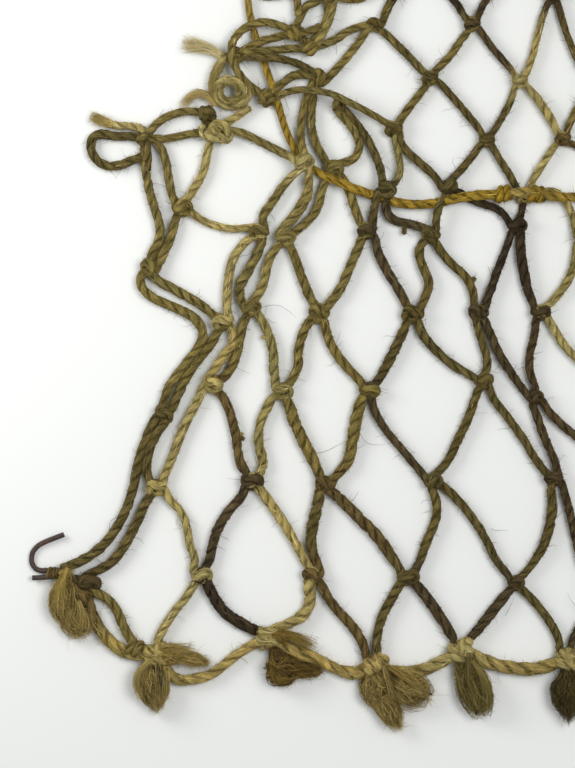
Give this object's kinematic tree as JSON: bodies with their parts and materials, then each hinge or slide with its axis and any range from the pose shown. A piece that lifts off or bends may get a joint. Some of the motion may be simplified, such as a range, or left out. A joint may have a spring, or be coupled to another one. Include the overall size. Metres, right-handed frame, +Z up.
{
  "type": "cast net",
  "caption": "Hand-knotted jute net lying loosely, diamond meshes, frayed tied edge, draw cord through the meshes and a bent wire hook.",
  "frame": {"origin": "middle of the spread net on the surface that it lies on", "axes": "+X along the tied bottom edge, +Y up the net away from that edge, +Z up"},
  "size_m": [0.2511, 0.2782, 0.0091],
  "materials": {
    "jute_olive": "rough natural bast twine, olive brown",
    "jute_tan": "rough natural bast twine, tan",
    "jute_dark": "rough natural bast twine, very dark brown",
    "jute_straw": "frayed natural bast fibre, straw",
    "jute_ochre": "natural bast cord, mustard ochre",
    "rusty_wire": "dark rusted steel wire"
  },
  "bodies": {
    "net": {"twine_01": "jute_olive", "twine_02": "jute_olive", "twine_03": "jute_tan", "twine_04": "jute_dark", "twine_05": "jute_tan", "twine_06": "jute_olive", "twine_07": "jute_olive", "twine_08": "jute_dark", "twine_09": "jute_olive", "twine_10": "jute_olive", "twine_11": "jute_dark", "twine_12": "jute_dark", "twine_13": "jute_tan", "twine_14": "jute_dark", "twine_15": "jute_olive", "gathered_twine_1": "jute_olive", "gathered_twine_2": "jute_olive", "gathered_twine_3": "jute_olive", "gathered_twine_4": "jute_olive", "edge_line": "jute_straw", "edge_hitch_1": "jute_straw", "edge_hitch_2": "jute_straw", "edge_hitch_3": "jute_straw", "edge_hitch_4": "jute_straw", "edge_hitch_5": "jute_straw", "edge_hitch_6": "jute_straw", "edge_hitch_7": "jute_straw", "draw_cord": "jute_ochre", "draw_cord_hitch_left": "jute_ochre", "draw_cord_hitch_right": "jute_ochre", "draw_cord_end_top": "jute_ochre", "draw_cord_end_side": "jute_ochre", "spare_coil": "jute_tan"},
    "tuft_1": {"tuft_1": "jute_straw"},
    "tuft_2": {"tuft_2": "jute_straw"},
    "tuft_3": {"tuft_3": "jute_dark"},
    "tuft_4": {"tuft_4": "jute_ochre"},
    "tuft_5": {"tuft_5": "jute_dark"},
    "tuft_6": {"tuft_6": "jute_dark"},
    "tuft_7": {"tuft_7": "jute_dark"},
    "tuft_8": {"tuft_8": "jute_straw"},
    "frayed_tail": {"frayed_tail": "jute_straw"},
    "frayed_bow": {"frayed_bow": "jute_tan"},
    "ear": {"ear_loop": "jute_olive", "ear_loop_tail": "jute_tan"},
    "hook": {"wire_hook": "rusty_wire", "hook_lashing": "jute_dark"}
  },
  "joints": [
    {"name": "tuft_1_lift", "type": "hinge", "parent": "net", "child": "tuft_1", "pos_m": [-0.1142, -0.0857, 0.0066], "axis": [-1, 0, 0], "range_deg": [0, 60]},
    {"name": "tuft_2_lift", "type": "hinge", "parent": "net", "child": "tuft_2", "pos_m": [-0.0858, -0.1154, 0.0066], "axis": [-1, 0, 0], "range_deg": [0, 90]},
    {"name": "tuft_3_lift", "type": "hinge", "parent": "net", "child": "tuft_3", "pos_m": [-0.0412, -0.1108, 0.0066], "axis": [-1, 0, 0], "range_deg": [0, 90]},
    {"name": "tuft_4_lift", "type": "hinge", "parent": "net", "child": "tuft_4", "pos_m": [-0.0112, -0.1188, 0.0066], "axis": [-1, 0, 0], "range_deg": [0, 90]},
    {"name": "tuft_5_lift", "type": "hinge", "parent": "net", "child": "tuft_5", "pos_m": [0.0196, -0.1158, 0.0066], "axis": [-1, 0, 0], "range_deg": [0, 90]},
    {"name": "tuft_6_lift", "type": "hinge", "parent": "net", "child": "tuft_6", "pos_m": [0.0534, -0.1157, 0.0066], "axis": [-1, 0, 0], "range_deg": [0, 90]},
    {"name": "tuft_7_lift", "type": "hinge", "parent": "net", "child": "tuft_7", "pos_m": [0.0866, -0.1164, 0.0066], "axis": [-1, 0, 0], "range_deg": [0, 90]},
    {"name": "tuft_8_lift", "type": "hinge", "parent": "net", "child": "tuft_8", "pos_m": [0.1176, -0.1133, 0.0066], "axis": [-1, 0, 0], "range_deg": [0, 90]},
    {"name": "frayed_tail_lift", "type": "hinge", "parent": "net", "child": "frayed_tail", "pos_m": [-0.0621, 0.0902, 0.0054], "axis": [0, 1, 0], "range_deg": [0, 70]},
    {"name": "frayed_bow_lift", "type": "hinge", "parent": "net", "child": "frayed_bow", "pos_m": [-0.0665, 0.0757, 0.0048], "axis": [0, 1, 0], "range_deg": [0, 70]},
    {"name": "ear_lift", "type": "hinge", "parent": "net", "child": "ear", "pos_m": [-0.0921, 0.0597, 0.0039], "axis": [0, 1, 0], "range_deg": [0, 110]},
    {"name": "hook_turn", "type": "hinge", "parent": "net", "child": "hook", "pos_m": [-0.1176, -0.0831, 0.0023], "axis": [1, 0, 0], "range_deg": [0, 90]}
  ]
}
